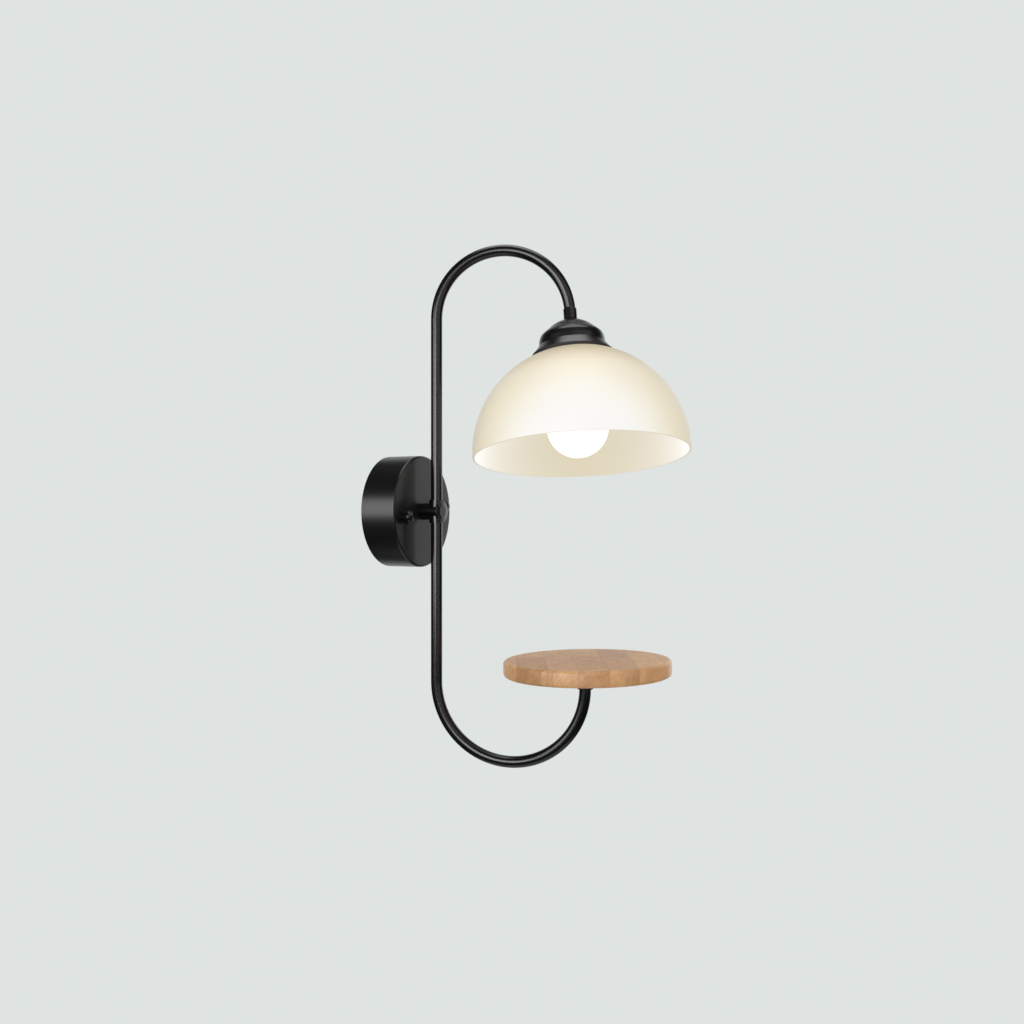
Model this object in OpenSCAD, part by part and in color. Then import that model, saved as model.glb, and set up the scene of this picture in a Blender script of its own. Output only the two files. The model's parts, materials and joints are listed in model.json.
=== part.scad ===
// Wall lamp with shelf: a round canopy carries a tee in which two bent steel tubes turn.
// The upper tube holds a glass shade with its lamp, the lower one a round wooden shelf.
// The wall is the plane Y = 0 and the room lies towards -Y. The origin is the centre of the
// canopy's back. All sizes are in millimetres.

/* [Canopy] */
// Outer diameter of the wall canopy
canopy_d = 101; // [94:1:130]
// Depth of the canopy from the wall to its face
canopy_depth = 33.6; // [30:0.1:42]
// Sheet thickness of the spun canopy
canopy_wall = 1.2; // [0.8:0.1:2]
// Rounding between the canopy's side and its face
canopy_edge_r = 2; // [2:0.5:5]

/* [Mounting bar] */
// Length of the mounting bar behind the canopy
bar_len = 82; // [78:1:86]
// Width of the bar
bar_w = 18; // [14:1:22]
// Sheet thickness of the bar
bar_t = 1.6; // [1:0.1:2.5]
// How far the ends of the bar stand off the wall
bar_step = 4.2; // [3.5:0.1:6]
// Length of the bar's middle that lies on the wall
bar_seat_len = 50; // [46:1:52]
// Turn of the bar from level, in degrees
bar_turn = 8.5; // [0:0.5:15]
// Distance between the two wall screw holes
wall_hole_spacing = 36; // [34:1:40]
// Diameter of the wall screw holes
wall_hole_d = 4.5; // [3.5:0.1:5]
// Distance between the two studs that hold the canopy
stud_spacing = 66; // [64:1:68]
// Thread diameter of the studs
stud_d = 4; // [3:0.5:5]
// Diameter over the corners of the cap nuts
cap_nut_d = 13; // [11:0.5:15]
// Length of the cap nuts from the canopy's face
cap_nut_len = 8.2; // [8:0.1:14]

/* [Tee] */
// Distance from the wall to the axis on which both tubes turn
tube_axis_y = 47.3; // [46:0.1:60]
// Diameter of the tee's barrel
barrel_d = 15; // [14.5:0.5:18]
// Diameter of the tee's upright boss
boss_d = 13; // [12.8:0.1:14]
// Height of the upright boss
boss_h = 21; // [20:0.5:26]
// Diameter of the disc at the front of the tee
disc_d = 21.5; // [20:0.5:26]
// Thickness of the disc at its edge
disc_t = 1.7; // [1.2:0.1:3]
// Diameter of the wire channel in the tee
channel_d = 7.2; // [7:0.1:7.6]
// Thread diameter of the nipples
nipple_d = 9.8; // [9.6:0.1:10]
// Bore of the nipples
nipple_bore_d = 7; // [6.6:0.1:7.4]

/* [Tubes] */
// Outside diameter of the tubes
tube_d = 10.3; // [10:0.1:10.6]
// Wall thickness of the tubes
tube_wall = 1; // [0.8:0.1:1.2]
// Turn of the upper tube from straight out, in degrees
upper_turn = 18.8; // [-55:0.1:55]
// Turn of the lower tube from straight out, in degrees
lower_turn = 9.1; // [-55:0.1:55]
// Furthest turn of each tube to either side, in degrees
turn_limit = 60; // [40:1:60]
// Height of the upper bend's centre above the canopy's centre
upper_z = 173.8; // [165:0.1:220]
// Radius of the upper bend along the tube's centre line
upper_r = 60.4; // [55:0.1:80]
// Angle that the upper bend covers, in degrees
upper_sweep = 175.9; // [170:0.1:180]
// Depth of the lower bend's centre below the canopy's centre
lower_z = 153.1; // [140:0.1:200]
// Radius of the lower bend along the tube's centre line
lower_r = 68.5; // [60:0.1:80]
// Straight length of the tube between the lower bend and the shelf's collar
shelf_rise = 9; // [7:0.1:20]

/* [Lamp head] */
// Sideways lean of the lamp head on the tube's end, in degrees
head_lean = 8.9; // [0:0.1:10]
// Outside diameter of the sleeve at the tube's end
sleeve_d = 12; // [11.8:0.1:14]
// Length of the sleeve above the cup
sleeve_len = 10; // [8:0.1:14]
// Diameter of the cup that covers the lamp holder
cup_d = 58.8; // [56:0.1:62]
// Height of the cup's crown
cup_dome_h = 20.3; // [19:0.1:26]
// Height of the cup's straight wall below its crown
cup_wall_h = 3.9; // [3:0.1:7]
// Sheet thickness of the cup
cup_t = 1; // [0.8:0.1:1.2]
// Width by which the cup's lip flares out
lip_w = 6.1; // [5:0.1:8]
// Height of the flared lip
lip_h = 7.9; // [5:0.1:8.2]
// Outside diameter of the lamp holder's threaded skirt
skirt_d = 40; // [39:0.5:41]
// Height of the soft edge between the cup's lip and the glass
gasket_h = 3.1; // [2.5:0.1:4]
// Diameter of the ring that clamps the shade
ring_d = 56; // [52:1:60]
// Height of the clamping ring
ring_h = 7; // [5:0.5:9]

/* [Shade] */
// Outer diameter of the glass shade at its rim
shade_d = 190; // [170:1:220]
// Height of the shade's domed part
shade_dome_h = 89.3; // [82:0.1:100]
// Height of the straight band at the rim
shade_band_h = 6.5; // [1:0.1:10]
// Fullness of the dome's curve, 2 for an ellipse
shade_fullness = 2; // [1.9:0.05:2.4]
// Thickness of the glass
glass_t = 2.4; // [2:0.1:4]
// Diameter of the neck hole in the glass
neck_d = 43; // [42.4:0.1:46]

/* [Lamp] */
// Diameter of the lamp's glass
globe_d = 54; // [48:1:60]
// Length of the lamp from its contact to the bottom of its glass
lamp_len = 92; // [90:1:96]
// Thread diameter of the lamp's cap
cap_d = 26; // [25.8:0.1:26.4]
// Pitch of the cap's thread
cap_pitch = 3.6; // [3.2:0.1:4]

/* [Shelf] */
// Diameter of the wooden shelf
shelf_d = 146.6; // [120:0.1:170]
// Thickness of the shelf
shelf_t = 13.3; // [12:0.1:22]
// Rounding of the shelf's edges
shelf_edge_r = 2.5; // [1:0.5:5]
// How far the shelf's centre lies beyond the tube's end
shelf_shift = 1.9; // [0:0.1:6]
// Diameter of the collar round the tube's end under the shelf
collar_d = 13.8; // [13:0.1:20]
// Length of that collar
collar_len = 12; // [9:0.1:14]

/* [Fits] */
// Radial clearance of the tube in the tee and of the ring on its thread
running_gap = 0.06; // [0.02:0.01:0.1]
// Clearance between pieces that are screwed or pushed together
seat_gap = 0.1; // [0.05:0.05:0.2]
// Clearance between pieces that move past each other
free_gap = 0.3; // [0.2:0.05:0.5]

/* [Hidden] */

// Colours
black_coat = [0.09, 0.09, 0.095];
zinc = [0.72, 0.73, 0.75];
brass = [0.80, 0.66, 0.35];
rubber_black = [0.06, 0.06, 0.06];
holder_white = [0.90, 0.89, 0.85];
glass_cream = [0.93, 0.87, 0.72];
lamp_white = [0.97, 0.96, 0.92];
beech = [0.78, 0.60, 0.43];
brown_wire = [0.35, 0.20, 0.12];

$fn = 96;
cut = 0.5;
canopy_r = canopy_d / 2;
tube_r = tube_d / 2;
tube_bore_r = tube_r - tube_wall;
bore_r = tube_r + running_gap;
nipple_r = nipple_d / 2;

// Tee, along the barrel from the canopy's face
disc_y = tube_axis_y + tube_r - 1;
disc_dome = 0.6;
tee_socket_len = 8;
tee_nipple_len = 19;
tee_nipple_back = canopy_depth + tee_socket_len - tee_nipple_len;
nut_t = 4;
nut_af = 14;
washer_t = 1;
washer_d = 18;

// Dog-point screws that hold the tubes in the tee, one above the wires and one below
tube_start = 3.6;
dog_screw_d = 3;
dog_d = 2;
dog_screw_z = 7;
dog_tip_x = tube_r - 0.7;
slot_h = dog_d + 0.3;
slot_half = turn_limit + asin((dog_d / 2 + 0.2) / (tube_r - tube_wall)) + 1;

// Wires
core_d = 2.2;
core_knee_d = core_d + 0.06;
core_x = 1.3;
core_z = 0;
core_elbow_r = 3;

// Terminal block
block_size = [22, 13, 15];
block_y = 4.5;
block_floor = -sqrt(pow(canopy_r - canopy_wall, 2) - pow(block_size[0] / 2, 2)) + 0.2;
block_pitch = 2 * core_x;
block_top = block_floor + block_size[2];
lead_bend_r = 6;

// Lamp head, measured down its axis from the end of the upper bend
sleeve_top = -2.4;
cup_top = sleeve_top + sleeve_len;
cup_r = cup_d / 2;
cup_rim = cup_top + cup_dome_h + cup_wall_h;
lip_end = cup_rim + lip_h;
lip_r = cup_r + lip_w;
// Spun crown of the cup: share of its radius and share of its height, from the top down
cup_crown = [
    [0.1, 0], [0.204, 0.012], [0.292, 0.074], [0.388, 0.143], [0.486, 0.217], [0.568, 0.291],
    [0.637, 0.365], [0.694, 0.438], [0.772, 0.537], [0.856, 0.635], [0.928, 0.734],
    [0.966, 0.833], [0.984, 0.925], [0.993, 1]
];
cup_washer_r = 7.5;
nut_top = cup_depth(cup_washer_r, cup_t) + seat_gap;
holder_top = nut_top + washer_t + nut_t + 2 * seat_gap;
holder_cap_h = 18;
floor_top = holder_top + holder_cap_h;
floor_t = 5;
skirt_r = skirt_d / 2;
skirt_wall = 4.6;
holder_bore_r = cap_d / 2 + 1.9;
thread_depth = 0.9;
terminal_x = 8;
terminal_h = 6;

// Shade, whose glass lies under the soft edge at the lip's radius
shade_r = shade_d / 2;
shade_top = lip_end + gasket_h - shade_dome_h * (1 - dome_rise(lip_r / shade_r, shade_fullness));
shade_rim = shade_top + shade_dome_h + shade_band_h;
neck_r = neck_d / 2;
ring_r = ring_d / 2;
dome_steps = 36;

// Lamp
globe_r = globe_d / 2;
contact_room = 3.1;
lamp_top = floor_top + floor_t + contact_room;
lamp_bottom = lamp_top + lamp_len;
contact_h = 1.6;
insulator_h = 2.4;
cap_h = 23;
cap_top = lamp_top + contact_h + insulator_h;
cap_bottom = cap_top + cap_h;
cap_r = cap_d / 2;
cap_thread = 0.75;
cap_turns = 5;
globe_centre = lamp_bottom - globe_r;
globe_neck_angle = 62;
skirt_bottom = cap_bottom - 3;

// Shelf, measured up from the lower bend's centre
shelf_bottom = shelf_rise + 2.5;
stud_r = tube_bore_r - seat_gap;
insert_r = 6.5;
insert_h = shelf_t - 4;

// Height of a superellipse above its base, at a share of its half width
function dome_rise(share, full) = pow(max(0, 1 - pow(share, full)), 1 / full);

// Depth of the cup's crown at a share of its height, on its outer face or inset from it
function crown_depth(share, inset) = cup_top + cup_dome_h - (cup_dome_h - inset) * (1 - share);

// Depth of the cup's crown at a radius
function cup_depth(r, inset) = crown_depth(lookup(r / (cup_r - inset), cup_crown), inset);

// Outline of the shade's dome, from the neck to the rim, with the glass offset inwards by inset
function shade_line(inset) =
    let (a = shade_r - inset, b = shade_dome_h - inset, start = asin(pow(neck_r / a, shade_fullness / 2)))
    concat(
        [for (i = [0 : dome_steps])
            let (w = start + (90 - start) * i / dome_steps)
            [a * pow(sin(w), 2 / shade_fullness),
             -(shade_top + shade_dome_h - b * pow(cos(w), 2 / shade_fullness))]],
        [[a, -shade_rim]]);

// Depth of the glass at a radius, on its outer face or inset from it
function shade_depth(r, inset) =
    shade_top + shade_dome_h - (shade_dome_h - inset) * dome_rise(r / (shade_r - inset), shade_fullness);

function reverse(list) = [for (i = [len(list) - 1 : -1 : 0]) list[i]];

// A wavy thread line down a cap, from depth d0 over the given turns
function thread_line(r, d0, turns) =
    [for (i = [0 : turns * 8])
        [r - cap_thread * (1 - cos(360 * i / 8)) / 2, -(d0 + cap_pitch * i / 8)]];

// Places its children on the tubes' axis, with -Y pointing straight out along the upper tube
module in_upper() {
    translate([0, -tube_axis_y, 0]) rotate([0, 0, upper_turn]) children();
}

// Places its children in the same way along the lower tube
module in_lower() {
    translate([0, -tube_axis_y, 0]) rotate([0, 0, lower_turn]) children();
}

// Places its children at the end of the upper bend, with -Z running down the lamp head's axis
module in_head(side = 0) {
    in_upper()
        translate([side, -upper_r + upper_r * cos(upper_sweep), upper_z + upper_r * sin(upper_sweep)])
            rotate([upper_sweep - 180, head_lean, 0]) children();
}

// Places its children at the lower bend's end, which points straight up
module in_shelf() {
    in_lower() translate([0, -2 * lower_r, -lower_z]) children();
}

// Places its children with Z pointing away from the wall, at a distance from it
module out_from_wall(distance) {
    translate([0, -distance, 0]) rotate([90, 0, 0]) children();
}

module ring(outer, inner, from, to) {
    difference() {
        translate([0, 0, from]) cylinder(r = outer, h = to - from);
        translate([0, 0, from - cut]) cylinder(r = inner, h = to - from + 2 * cut);
    }
}

module hex_nut(across_flats, hole_r, height) {
    difference() {
        intersection() {
            cylinder(d = across_flats / cos(30), h = height, $fn = 6);
            cylinder(r1 = across_flats / 2 + height, r2 = across_flats / 2 + 0.2, h = height);
        }
        translate([0, 0, -cut]) cylinder(r = hole_r, h = height + 2 * cut);
    }
}

// The two ends of the mounting bar
module at_studs() {
    rotate([0, -bar_turn, 0])
        for (side = [-1, 1]) translate([side * stud_spacing / 2, 0, 0]) children();
}

// The upper tube's run, for a round section of the given radius set off sideways
module upper_run(section_r, from_z, side = 0) {
    translate([side, 0, from_z]) cylinder(r = section_r, h = upper_z - from_z);
    translate([0, -upper_r, upper_z]) rotate([90, 0, 90])
        rotate_extrude(angle = upper_sweep) translate([upper_r, side]) circle(r = section_r);
}

module lower_run(section_r) {
    translate([0, 0, -lower_z]) cylinder(r = section_r, h = lower_z - tube_start);
    translate([0, -lower_r, -lower_z]) rotate([90, 0, 90]) rotate([0, 0, 180])
        rotate_extrude(angle = 180) translate([lower_r, 0]) circle(r = section_r);
    translate([0, -2 * lower_r, -lower_z]) cylinder(r = section_r, h = shelf_rise);
}

// The slot in a tube that lets it turn round its dog point
module dog_slot(z) {
    translate([0, 0, z - slot_h / 2]) rotate([0, 0, -slot_half])
        rotate_extrude(angle = 2 * slot_half) square([tube_r + cut, slot_h]);
}

// ---- Pieces that stay on the wall ----

module canopy() {
    face = canopy_depth;
    color(black_coat) difference() {
        out_from_wall(0) rotate_extrude() difference() {
            hull() {
                square([canopy_r, face - canopy_edge_r]);
                translate([canopy_r - canopy_edge_r, face - canopy_edge_r]) intersection() {
                    circle(r = canopy_edge_r, $fn = 48);
                    square(canopy_edge_r);
                }
                square([1, face]);
            }
            translate([0, -cut]) hull() {
                square([canopy_r - canopy_wall, face - canopy_edge_r + cut]);
                translate([canopy_r - canopy_edge_r, face - canopy_edge_r + cut]) intersection() {
                    circle(r = canopy_edge_r - canopy_wall, $fn = 48);
                    square(canopy_edge_r);
                }
                square([1, face - canopy_wall + cut]);
            }
        }
        out_from_wall(face - canopy_wall - cut) cylinder(r = nipple_r + seat_gap, h = canopy_wall + 2 * cut);
        at_studs() out_from_wall(face - canopy_wall - cut)
            cylinder(d = stud_d + 2 * seat_gap, h = canopy_wall + 2 * cut);
    }
}

// The bar seen from above: its middle lies on the wall, its ends stand off it
module bar_outline() {
    half = bar_len / 2;
    seat = bar_seat_len / 2;
    foot = seat + bar_step;
    polygon([
        [-half, -bar_step - bar_t], [-half, -bar_step], [-foot, -bar_step], [-seat, 0],
        [seat, 0], [foot, -bar_step], [half, -bar_step], [half, -bar_step - bar_t],
        [foot - bar_t / 2, -bar_step - bar_t], [seat - bar_t / 2, -bar_t],
        [-seat + bar_t / 2, -bar_t], [-foot + bar_t / 2, -bar_step - bar_t]
    ]);
}

module mounting_bar() {
    color(zinc) rotate([0, -bar_turn, 0]) difference() {
        translate([0, 0, -bar_w / 2]) linear_extrude(bar_w) bar_outline();
        for (side = [-1, 1]) {
            translate([side * wall_hole_spacing / 2, 0, 0]) out_from_wall(-cut)
                cylinder(d = wall_hole_d, h = bar_t + 2 * cut);
            translate([side * stud_spacing / 2, 0, 0]) out_from_wall(bar_step - cut)
                cylinder(d = stud_d + seat_gap, h = bar_t + 2 * cut);
        }
        out_from_wall(-cut) cylinder(d = stud_d + seat_gap, h = bar_t + 2 * cut);
    }
}

module bar_studs() {
    head_t = 2.2;
    end = canopy_depth + cap_nut_len - 4;
    color(zinc) at_studs() {
        out_from_wall(bar_step - head_t) difference() {
            cylinder(d = 1.8 * stud_d, h = head_t);
            translate([0, 0, -cut]) cylinder(d = 0.55 * stud_d, h = 1 + cut, $fn = 6);
        }
        out_from_wall(bar_step) cylinder(d = stud_d, h = end - bar_step);
    }
}

// A domed nut with six flats, on a short round foot
module cap_nuts() {
    foot_h = 1.8;
    flats_h = 3.6;
    color(black_coat) at_studs() out_from_wall(canopy_depth) difference() {
        union() {
            cylinder(d = 0.78 * cap_nut_d, h = foot_h);
            translate([0, 0, foot_h]) intersection() {
                cylinder(d = cap_nut_d, h = flats_h, $fn = 6);
                cylinder(r1 = cap_nut_d / 2 - 0.8, r2 = cap_nut_d / 2 - 0.8 + flats_h, h = flats_h);
                cylinder(r2 = cap_nut_d / 2 - 0.8, r1 = cap_nut_d / 2 - 0.8 + flats_h, h = flats_h);
            }
            translate([0, 0, foot_h + flats_h]) rotate_extrude() intersection() {
                scale([0.4 * cap_nut_d, cap_nut_len - foot_h - flats_h]) circle(r = 1);
                square(cap_nut_d);
            }
        }
        translate([0, 0, -cut]) cylinder(d = stud_d + seat_gap, h = cap_nut_len - 4 + 2 * cut);
    }
}

// Earth screw in the middle of the bar, with its washer
module earth_screw() {
    color(brass) out_from_wall(0) {
        cylinder(d = stud_d, h = bar_t);
        translate([0, 0, bar_t]) cylinder(d = 2.2 * stud_d, h = 0.8);
        translate([0, 0, bar_t + 0.8]) difference() {
            cylinder(d = 1.8 * stud_d, h = 2.2);
            translate([-stud_d, -0.5, 1.2]) cube([2 * stud_d, 1, 1.5]);
        }
    }
}

module terminal_block() {
    color(holder_white) translate([0, -block_y, block_floor]) difference() {
        translate([-block_size[0] / 2, -block_size[1], 0]) cube(block_size);
        for (side = [-1, 1]) {
            translate([side * block_size[0] / 4, -block_size[1] / 2, -cut])
                cylinder(d = 4.4, h = block_size[2] + 2 * cut);
            translate([side * block_size[0] / 4, -block_size[1] / 2, block_size[2] / 2])
                rotate([90, 0, 0]) cylinder(d = 4, h = block_size[1]);
        }
        translate([-0.6, -block_size[1] - cut, -cut]) cube([1.2, 4 + cut, block_size[2] + 2 * cut]);
    }
}

module terminal_screws() {
    color(brass) translate([0, -block_y, block_floor]) for (side = [-1, 1])
        translate([side * block_size[0] / 4, -block_size[1] / 2, block_size[2] / 2]) {
            difference() {
                translate([0, 0, -5]) cylinder(d = 4.2, h = 10);
                translate([0, 0, -5 - cut]) cylinder(d = core_d + 0.3, h = 10 + 2 * cut);
            }
            translate([0, -2, 0]) rotate([90, 0, 0]) difference() {
                cylinder(d = 3.6, h = 3);
                translate([-2, -0.4, 2.2]) cube([4, 0.8, 1]);
            }
        }
}

// Two cores that rise from the terminal block, bend forward and run out to the tee
module canopy_leads() {
    back = block_y + block_size[1] / 2;
    front = tube_axis_y - tube_r - free_gap;
    lead_x = block_size[0] / 4;
    rise_top = core_z - lead_bend_r;
    stub_top = block_top + 1;
    slant = atan((lead_x - core_x) / (rise_top - stub_top));
    color(brown_wire) for (side = [-1, 1]) {
        translate([side * lead_x, -back, stub_top - 9]) cylinder(d = core_d, h = 9, $fn = 24);
        translate([side * lead_x, -back, stub_top]) {
            sphere(d = core_knee_d, $fn = 24);
            rotate([0, -side * slant, 0])
                cylinder(d = core_d, h = (rise_top - stub_top) / cos(slant), $fn = 24);
        }
        translate([side * core_x, -back, rise_top]) sphere(d = core_knee_d, $fn = 24);
        translate([side * core_x, -back - lead_bend_r, rise_top]) rotate([90, 0, 90])
            rotate_extrude(angle = 90) translate([lead_bend_r, 0]) circle(d = core_d, $fn = 24);
        translate([side * core_x, 0, core_z]) out_from_wall(back + lead_bend_r)
            cylinder(d = core_d, h = front - back - lead_bend_r, $fn = 24);
    }
}

// Barrel, upright boss and front disc, bored for the tubes and for the wires
module tee() {
    color(black_coat) difference() {
        union() {
            out_from_wall(canopy_depth) cylinder(d = barrel_d, h = disc_y - canopy_depth);
            intersection() {
                translate([0, -tube_axis_y, -boss_h / 2]) cylinder(d = boss_d, h = boss_h);
                translate([-boss_d, -disc_y - disc_t, -boss_h]) cube([2 * boss_d, disc_y, 2 * boss_h]);
            }
            out_from_wall(disc_y) rotate_extrude() hull() {
                square([disc_d / 2 - 0.4, disc_t]);
                translate([0, 0.4]) square([disc_d / 2, disc_t - 0.8]);
                square([disc_d / 4, disc_t + disc_dome]);
            }
        }
        translate([0, -tube_axis_y, -boss_h / 2 - cut]) cylinder(r = bore_r, h = boss_h + 2 * cut);
        out_from_wall(canopy_depth - cut) cylinder(r = nipple_r + seat_gap, h = tee_socket_len + cut);
        out_from_wall(canopy_depth) cylinder(d = channel_d, h = tube_axis_y - canopy_depth);
        for (z = [-dog_screw_z, dog_screw_z]) translate([0, -tube_axis_y, z]) rotate([0, 90, 0])
            cylinder(d = dog_screw_d + seat_gap, h = barrel_d);
    }
}

module tee_nipple() {
    color(zinc) out_from_wall(tee_nipple_back)
        ring(nipple_r, nipple_bore_d / 2, 0, tee_nipple_len - seat_gap);
}

module tee_washer() {
    inner_face = canopy_depth - canopy_wall;
    color(zinc) out_from_wall(inner_face - washer_t)
        ring(washer_d / 2, nipple_r + seat_gap, 0, washer_t);
}

module tee_nut() {
    inner_face = canopy_depth - canopy_wall - washer_t;
    color(zinc) out_from_wall(inner_face - nut_t) hex_nut(nut_af, nipple_r + seat_gap, nut_t);
}

// Their dog points ride in the tubes' slots: they hold the tubes and limit the turn
module swivel_screws() {
    outer_x = boss_d / 2 - 0.3;
    color(zinc) for (z = [-dog_screw_z, dog_screw_z])
        translate([0, -tube_axis_y, z]) rotate([0, 90, 0]) {
            translate([0, 0, dog_tip_x]) cylinder(d = dog_d, h = bore_r + 0.2 - dog_tip_x);
            difference() {
                translate([0, 0, bore_r + 0.2]) cylinder(d = dog_screw_d, h = outer_x - bore_r - 0.2);
                translate([0, 0, outer_x - 0.6]) cylinder(d = 1.6, h = 0.6 + cut, $fn = 6);
            }
        }
}

// ---- Pieces that turn with the upper tube ----

module upper_tube() {
    color(black_coat) in_upper() difference() {
        upper_run(tube_r, tube_start);
        upper_run(tube_bore_r, tube_start - cut);
        dog_slot(dog_screw_z);
    }
}

// Two cores from the middle of the tee up through the tube to the holder's terminals
module arm_leads() {
    lead_knee = holder_top + 6;
    drop = floor_top - terminal_h - lead_knee;
    spread = atan((terminal_x - core_x) / drop);
    reach = (drop - core_d / 2 * sin(spread) - seat_gap) / cos(spread);
    color(brown_wire) {
        in_upper() for (side = [-1, 1]) {
            translate([side * core_x, core_elbow_r, core_z + core_elbow_r]) rotate([90, 0, 90])
                rotate([0, 0, 180]) rotate_extrude(angle = 90)
                    translate([core_elbow_r, 0]) circle(d = core_d, $fn = 24);
            upper_run(core_d / 2, core_z + core_elbow_r, side * core_x, $fn = 24);
        }
        for (side = [-1, 1]) in_head(side * core_x) {
            sphere(d = core_knee_d, $fn = 24);
            translate([0, 0, -lead_knee]) {
                cylinder(d = core_d, h = lead_knee, $fn = 24);
                sphere(d = core_knee_d, $fn = 24);
                rotate([0, 180 - side * spread, 0]) cylinder(d = core_d, h = reach, $fn = 24);
            }
        }
    }
}

module head_sleeve() {
    color(black_coat) difference() {
        in_head() translate([0, 0, -cup_top]) union() {
            cylinder(d = sleeve_d, h = sleeve_len - 0.5);
            translate([0, 0, sleeve_len - 0.5]) cylinder(d1 = sleeve_d, d2 = sleeve_d - 0.8, h = 0.5);
        }
        in_upper() upper_run(tube_r + 0.02, upper_z - 1);
        in_head() translate([0, 0, -cup_top - cut]) cylinder(r = nipple_r + seat_gap, h = cup_top + cut - 0.8);
        in_head() translate([0, 0, -cup_top]) cylinder(d = nipple_bore_d, h = cup_top + 3);
    }
}

module holder_nipple() {
    color(zinc) in_head() ring(nipple_r, nipple_bore_d / 2, -holder_top - 5, -1.6);
}

// Spun cup: sloping crown, short straight wall and a lip that flares down to the glass
module holder_cup() {
    function cup_line(inset) = concat(
        [for (p = cup_crown) [(cup_r - inset) * p[0], -crown_depth(p[1], inset)]],
        [[cup_r - inset, -cup_rim], [lip_r - inset * 0.7, -lip_end]]);
    color(black_coat) in_head() difference() {
        rotate_extrude() polygon(concat(cup_line(0), reverse(cup_line(cup_t))));
        translate([0, 0, -cup_top - 4]) cylinder(r = nipple_r + seat_gap, h = 8);
    }
}

module cup_washer() {
    color(zinc) in_head() ring(cup_washer_r, nipple_r + seat_gap, -nut_top - washer_t, -nut_top);
}

module cup_nut() {
    color(zinc) in_head() translate([0, 0, -nut_top - washer_t - nut_t])
        hex_nut(nut_af, nipple_r + seat_gap, nut_t);
}

// Upper half of the lamp holder, screwed on the nipple
module holder_cap() {
    cap_outer = 17.5;
    wall = 2;
    color(holder_white) in_head() rotate_extrude() polygon([
        [nipple_r + seat_gap, -holder_top], [cap_outer - 5, -holder_top],
        [cap_outer - 1.5, -holder_top - 2], [cap_outer, -holder_top - 5],
        [cap_outer, -floor_top], [cap_outer - wall, -floor_top],
        [cap_outer - wall, -holder_top - 5.5], [cap_outer - 5, -holder_top - 3.5],
        [nipple_r + seat_gap, -holder_top - 3.5]
    ]);
}

// Lower half of the lamp holder: floor, skirt and the coarse outside thread for the ring
module holder_body() {
    core = skirt_r - thread_depth;
    thread_top = shade_depth(neck_r, 0) - 1;
    thread_pitch = 2.5;
    turns = floor((skirt_bottom - thread_top) / thread_pitch);
    color(holder_white) in_head() difference() {
        union() {
            translate([0, 0, -skirt_bottom]) cylinder(r = core, h = skirt_bottom - floor_top);
            for (i = [0 : turns - 1])
                translate([0, 0, -thread_top - thread_pitch * (i + 0.5)]) rotate_extrude()
                    polygon([[core - cut, -0.9], [core, -0.9], [skirt_r, -0.4],
                             [skirt_r, 0.4], [core, 0.9], [core - cut, 0.9]]);
        }
        translate([0, 0, -skirt_bottom - cut])
            cylinder(r = holder_bore_r, h = skirt_bottom - floor_top - floor_t + cut);
        for (side = [-1, 1]) translate([side * terminal_x, 0, -floor_top - floor_t - cut])
            cylinder(d = 4, h = floor_t + 2 * cut);
    }
}

// Brass posts through the holder's floor, with the screws that grip the cores
module holder_terminals() {
    color(brass) in_head() for (side = [-1, 1]) {
        translate([side * terminal_x, 0, -floor_top - floor_t]) cylinder(d = 3.8, h = floor_t);
        translate([side * terminal_x - 3, -3, -floor_top]) cube([6, 6, terminal_h]);
        translate([side * (terminal_x + 3), 0, -floor_top + terminal_h / 2])
            rotate([0, side * 90, 0]) cylinder(d = 4, h = 1.6);
    }
}

// Brass shell that takes the lamp's cap
module thread_shell() {
    gap = free_gap;
    sheet = 0.5;
    inner = thread_line(cap_r + gap, cap_top + 1.5, cap_turns);
    outer = [for (p = inner) [p[0] + sheet, p[1]]];
    color(brass) in_head() rotate_extrude() polygon(concat(inner, reverse(outer)));
}

// Spring leaf under the tip of the lamp
module centre_contact() {
    floor_y = -floor_top - floor_t;
    tip = -lamp_top + free_gap;
    color(brass) in_head() translate([0, 2.5, 0]) rotate([90, 0, 0]) linear_extrude(5) polygon([
        [-8, floor_y], [8, floor_y], [8, floor_y - 0.6], [3, floor_y - 0.6], [3, tip + 0.6],
        [3, tip], [-5, tip], [-5, tip + 0.6], [2.4, tip + 0.6], [2.4, floor_y - 0.6], [-8, floor_y - 0.6]
    ]);
}

// Soft edge between the cup's lip and the glass
module shade_gasket() {
    inner = lip_r - 2.6;
    outer = lip_r + 0.6;
    color(rubber_black) in_head() rotate_extrude() polygon([
        [inner, -lip_end - 0.1], [outer, -lip_end - 0.1],
        [outer + 0.4, -shade_depth(outer + 0.4, 0) + 0.1], [inner, -shade_depth(inner, 0) + 0.1]
    ]);
}

module glass_shade() {
    color(glass_cream) in_head() rotate_extrude($fn = 144)
        polygon(concat(shade_line(0), reverse(shade_line(glass_t))));
}

// Ring that screws up the skirt and clamps the glass
module shade_ring() {
    top = shade_depth(neck_r, glass_t) + glass_t * 0.2;
    grips = 12;
    color(holder_white) in_head() difference() {
        rotate_extrude() polygon([
            [skirt_r + running_gap, -top - free_gap],
            [ring_r - 3, -shade_depth(ring_r - 3, glass_t) - free_gap],
            [ring_r, -shade_depth(ring_r, glass_t) - free_gap],
            [ring_r, -top - ring_h], [skirt_r + running_gap, -top - ring_h]
        ]);
        for (i = [0 : grips - 1]) rotate([0, 0, 360 * i / grips])
            translate([ring_r + 1, 0, -top - ring_h - cut]) cylinder(r = 2, h = ring_h, $fn = 24);
    }
}

// ---- The lamp ----

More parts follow.
